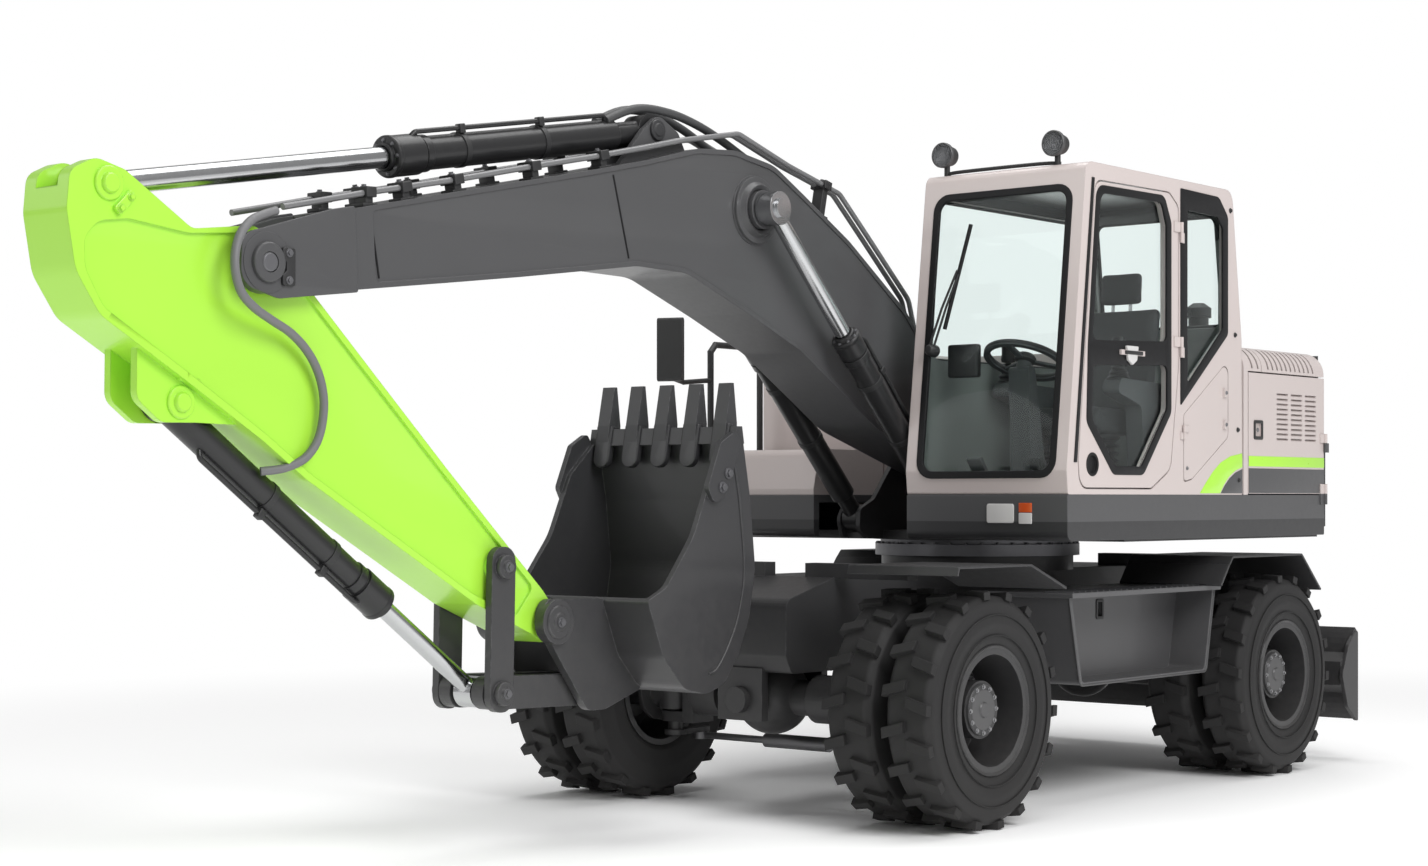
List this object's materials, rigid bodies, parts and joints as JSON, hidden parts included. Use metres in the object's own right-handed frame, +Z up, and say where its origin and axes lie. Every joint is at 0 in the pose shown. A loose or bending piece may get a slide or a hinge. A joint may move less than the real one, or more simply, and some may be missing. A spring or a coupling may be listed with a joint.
{
  "type": "wheeled excavator",
  "caption": "A wheeled excavator with a closed cab, a one-piece boom, an arm with a toothed digging bucket, twin tyres and a rear dozer blade.",
  "frame": {"origin": "on the ground under the swing axis", "axes": "+X forward along the chassis, +Y to the cab side, +Z up"},
  "size_m": [7.7596, 2.5294, 3.166],
  "materials": {
    "body_grey": "satin",
    "body_white": "gloss",
    "arm_green": "gloss",
    "chassis_dark": "satin",
    "tyre_rubber": "matte",
    "rod_chrome": "polished",
    "clear_glass": "polished",
    "trim_black": "matte",
    "bare_steel": "worn",
    "seat_fabric": "matte"
  },
  "bodies": {
    "chassis": {"chassis_frame": "chassis_dark", "slew_ring": "bare_steel", "front_axle": "chassis_dark", "rear_axle": "chassis_dark", "driveline": "chassis_dark", "fenders": "chassis_dark", "step_boxes": "chassis_dark"},
    "knuckle_left": {"knuckle_left": "chassis_dark"},
    "knuckle_right": {"knuckle_right": "chassis_dark"},
    "steering_rod": {"steering_rod": "bare_steel"},
    "wheel_front_left": {"tyres_front_left": "tyre_rubber", "rims_front_left": "chassis_dark"},
    "wheel_front_right": {"tyres_front_right": "tyre_rubber", "rims_front_right": "chassis_dark"},
    "wheel_rear_left": {"tyres_rear_left": "tyre_rubber", "rims_rear_left": "chassis_dark"},
    "wheel_rear_right": {"tyres_rear_right": "tyre_rubber", "rims_rear_right": "chassis_dark"},
    "blade": {"blade": "chassis_dark"},
    "blade_barrels": {"blade_barrels": "chassis_dark"},
    "blade_rods": {"blade_rods": "rod_chrome"},
    "upper": {"upper_frame": "chassis_dark", "skirts": "body_grey", "counterweight": "body_grey", "hood_frame": "body_white", "engine_block": "chassis_dark", "right_tank": "body_white", "right_box": "body_white", "handrail": "trim_black", "exhaust": "trim_black", "cab_shell": "body_white", "cab_glass": "clear_glass", "seat": "seat_fabric", "controls": "trim_black", "lamps": "trim_black"},
    "engine_hood": {"engine_hood": "body_white"},
    "left_bay_door": {"left_bay_door": "body_white"},
    "right_bay_door": {"right_bay_door": "body_white"},
    "cab_door": {"cab_door": "body_white", "door_glass": "clear_glass"},
    "cab_hatch": {"cab_hatch": "body_white"},
    "boom": {"boom": "body_grey", "boom_pipes": "trim_black"},
    "boom_barrels": {"boom_barrels": "chassis_dark"},
    "boom_rods": {"boom_rods": "rod_chrome"},
    "arm": {"arm": "arm_green"},
    "arm_barrel": {"arm_barrel": "chassis_dark"},
    "arm_rod": {"arm_rod": "rod_chrome"},
    "bucket_barrel": {"bucket_barrel": "chassis_dark"},
    "bucket_rod": {"bucket_rod": "rod_chrome"},
    "side_links": {"side_links": "chassis_dark"},
    "bucket_link": {"bucket_link": "chassis_dark"},
    "bucket": {"bucket": "chassis_dark"}
  },
  "joints": [
    {"name": "swing", "type": "hinge", "parent": "chassis", "child": "upper", "pos_m": [0, 0, 1.24], "axis": [0, 0, 1], "continuous": true},
    {"name": "boom_lift", "type": "hinge", "parent": "upper", "child": "boom", "pos_m": [0.28, 0, 1.66], "axis": [0, -1, 0], "range_deg": [-36, 54]},
    {"name": "boom_barrel_tilt", "type": "hinge", "parent": "upper", "child": "boom_barrels", "pos_m": [0.689, 0, 1.352], "axis": [0, -1, 0], "range_deg": [-45, 60]},
    {"name": "boom_rod_slide", "type": "slide", "parent": "boom_barrels", "child": "boom_rods", "axis": [0.7035, 0, 0.7107], "range_m": [-0.32, 0.47]},
    {"name": "arm_swing", "type": "hinge", "parent": "boom", "child": "arm", "pos_m": [4.92012, 0, 2.307], "axis": [0, 1, 0], "range_deg": [-112, 0]},
    {"name": "arm_barrel_tilt", "type": "hinge", "parent": "boom", "child": "arm_barrel", "pos_m": [2.66423, 0, 3.06008], "axis": [0, 1, 0], "range_deg": [-5, 2]},
    {"name": "arm_rod_slide", "type": "slide", "parent": "arm_barrel", "child": "arm_rod", "axis": [0.9839, 0, -0.1785], "range_m": [-1.15, 0.005]},
    {"name": "bucket_tilt", "type": "hinge", "parent": "arm", "child": "bucket", "pos_m": [3.4001, 0, 0.94496], "axis": [0, 1, 0], "range_deg": [-88, 45]},
    {"name": "rocker_tilt", "type": "hinge", "parent": "arm", "child": "side_links", "pos_m": [3.69018, 0, 1.17694], "axis": [0, 1, 0], "range_deg": [-70, 40]},
    {"name": "link_tilt", "type": "hinge", "parent": "side_links", "child": "bucket_link", "pos_m": [3.70218, 0, 0.66894], "axis": [0, 1, 0], "range_deg": [-25, 40]},
    {"name": "bucket_barrel_tilt", "type": "hinge", "parent": "arm", "child": "bucket_barrel", "pos_m": [5.24013, 0, 1.79298], "axis": [0, 1, 0], "range_deg": [-5, 5]},
    {"name": "bucket_rod_slide", "type": "slide", "parent": "bucket_barrel", "child": "bucket_rod", "axis": [-0.8074, 0, -0.5901], "range_m": [-0.56, 0.3]},
    {"name": "steer_left", "type": "hinge", "parent": "chassis", "child": "knuckle_left", "pos_m": [1.73, 0.6, 0.526], "axis": [0, 0, 1], "range_deg": [-28, 28]},
    {"name": "steer_right", "type": "hinge", "parent": "chassis", "child": "knuckle_right", "pos_m": [1.73, -0.6, 0.526], "axis": [0, 0, 1], "range_deg": [-30, 30]},
    {"name": "steering_slide", "type": "slide", "parent": "chassis", "child": "steering_rod", "axis": [0, 1, 0], "range_m": [-0.095, 0.095]},
    {"name": "wheel_front_left_spin", "type": "hinge", "parent": "knuckle_left", "child": "wheel_front_left", "pos_m": [1.73, 0.952, 0.526], "axis": [0, 1, 0], "continuous": true},
    {"name": "wheel_front_right_spin", "type": "hinge", "parent": "knuckle_right", "child": "wheel_front_right", "pos_m": [1.73, -0.952, 0.526], "axis": [0, 1, 0], "continuous": true},
    {"name": "wheel_rear_left_spin", "type": "hinge", "parent": "chassis", "child": "wheel_rear_left", "pos_m": [-1.07, 0.952, 0.526], "axis": [0, 1, 0], "continuous": true},
    {"name": "wheel_rear_right_spin", "type": "hinge", "parent": "chassis", "child": "wheel_rear_right", "pos_m": [-1.07, -0.952, 0.526], "axis": [0, 1, 0], "continuous": true},
    {"name": "blade_lift", "type": "hinge", "parent": "chassis", "child": "blade", "pos_m": [-1.38, 0, 0.7], "axis": [0, 1, 0], "range_deg": [-26, 8]},
    {"name": "blade_barrel_tilt", "type": "hinge", "parent": "chassis", "child": "blade_barrels", "pos_m": [-1.672, 0, 0.985], "axis": [0, 1, 0], "range_deg": [-16, 6]},
    {"name": "blade_rod_slide", "type": "slide", "parent": "blade_barrels", "child": "blade_rods", "axis": [-0.2675, 0, -0.9636], "range_m": [-0.05, 0.16]},
    {"name": "cab_door_hinge", "type": "hinge", "parent": "upper", "child": "cab_door", "pos_m": [0.1, 1.255, 2.2], "axis": [0, 0, 1], "range_deg": [0, 165]},
    {"name": "cab_hatch_hinge", "type": "hinge", "parent": "upper", "child": "cab_hatch", "pos_m": [0.072, 1.255, 1.85], "axis": [0, 0, 1], "range_deg": [-100, 0]},
    {"name": "left_bay_hinge", "type": "hinge", "parent": "upper", "child": "left_bay_door", "pos_m": [-1.492, 1.255, 1.8], "axis": [0, 0, 1], "range_deg": [0, 110]},
    {"name": "right_bay_hinge", "type": "hinge", "parent": "upper", "child": "right_bay_door", "pos_m": [-1.492, -1.255, 1.8], "axis": [0, 0, -1], "range_deg": [0, 110]},
    {"name": "engine_hood_hinge", "type": "hinge", "parent": "upper", "child": "engine_hood", "pos_m": [-0.764, 0, 2.247], "axis": [0, 1, 0], "range_deg": [0, 65]}
  ],
  "couplings": [
    {"joint": "boom_barrel_tilt", "follows": "boom_lift", "ratio": 1},
    {"joint": "boom_rod_slide", "follows": "boom_lift", "m_per_rad": 0.46},
    {"joint": "arm_barrel_tilt", "follows": "arm_swing", "ratio": 0.0254},
    {"joint": "arm_rod_slide", "follows": "arm_swing", "m_per_rad": 0.5806},
    {"joint": "rocker_tilt", "follows": "bucket_tilt", "ratio": 0.59},
    {"joint": "link_tilt", "follows": "bucket_tilt", "ratio": -0.2508},
    {"joint": "bucket_barrel_tilt", "follows": "bucket_tilt", "ratio": 0.0541},
    {"joint": "bucket_rod_slide", "follows": "bucket_tilt", "m_per_rad": 0.2725},
    {"joint": "steer_right", "follows": "steer_left", "ratio": 1},
    {"joint": "steering_slide", "follows": "steer_left", "m_per_rad": -0.1825},
    {"joint": "blade_barrel_tilt", "follows": "blade_lift", "ratio": 0.54},
    {"joint": "blade_rod_slide", "follows": "blade_lift", "m_per_rad": -0.33}
  ]
}
